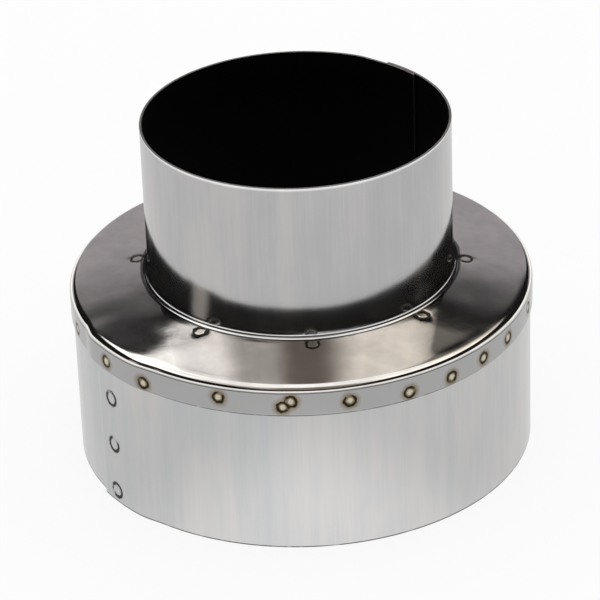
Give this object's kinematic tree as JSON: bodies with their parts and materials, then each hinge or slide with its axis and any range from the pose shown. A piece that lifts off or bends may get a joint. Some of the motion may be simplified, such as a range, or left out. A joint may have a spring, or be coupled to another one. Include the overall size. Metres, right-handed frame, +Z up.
{
  "type": "flue pipe reducer",
  "caption": "Stainless steel flue reducer: a wide lap-seamed tube, a low conical shoulder folded down over it, and a narrower spigot rising from the middle.",
  "frame": {"origin": "centre of the wide tube's bottom edge, on the flue's axis", "axes": "+Z up the flue, from the wide tube to the spigot; -Y faces the picture's camera; +X to its right"},
  "size_m": [0.1516, 0.1516, 0.1149],
  "materials": {
    "body_steel": "satin, drawn up the tube",
    "shoulder_steel": "semi-gloss, rubbed round the axis, straw heat tint at the welds",
    "spigot_steel": "satin, drawn up the tube"
  },
  "bodies": {
    "root": {"body_tube": "body_steel", "shoulder": "shoulder_steel", "spigot_tube": "spigot_steel"}
  },
  "joints": []
}
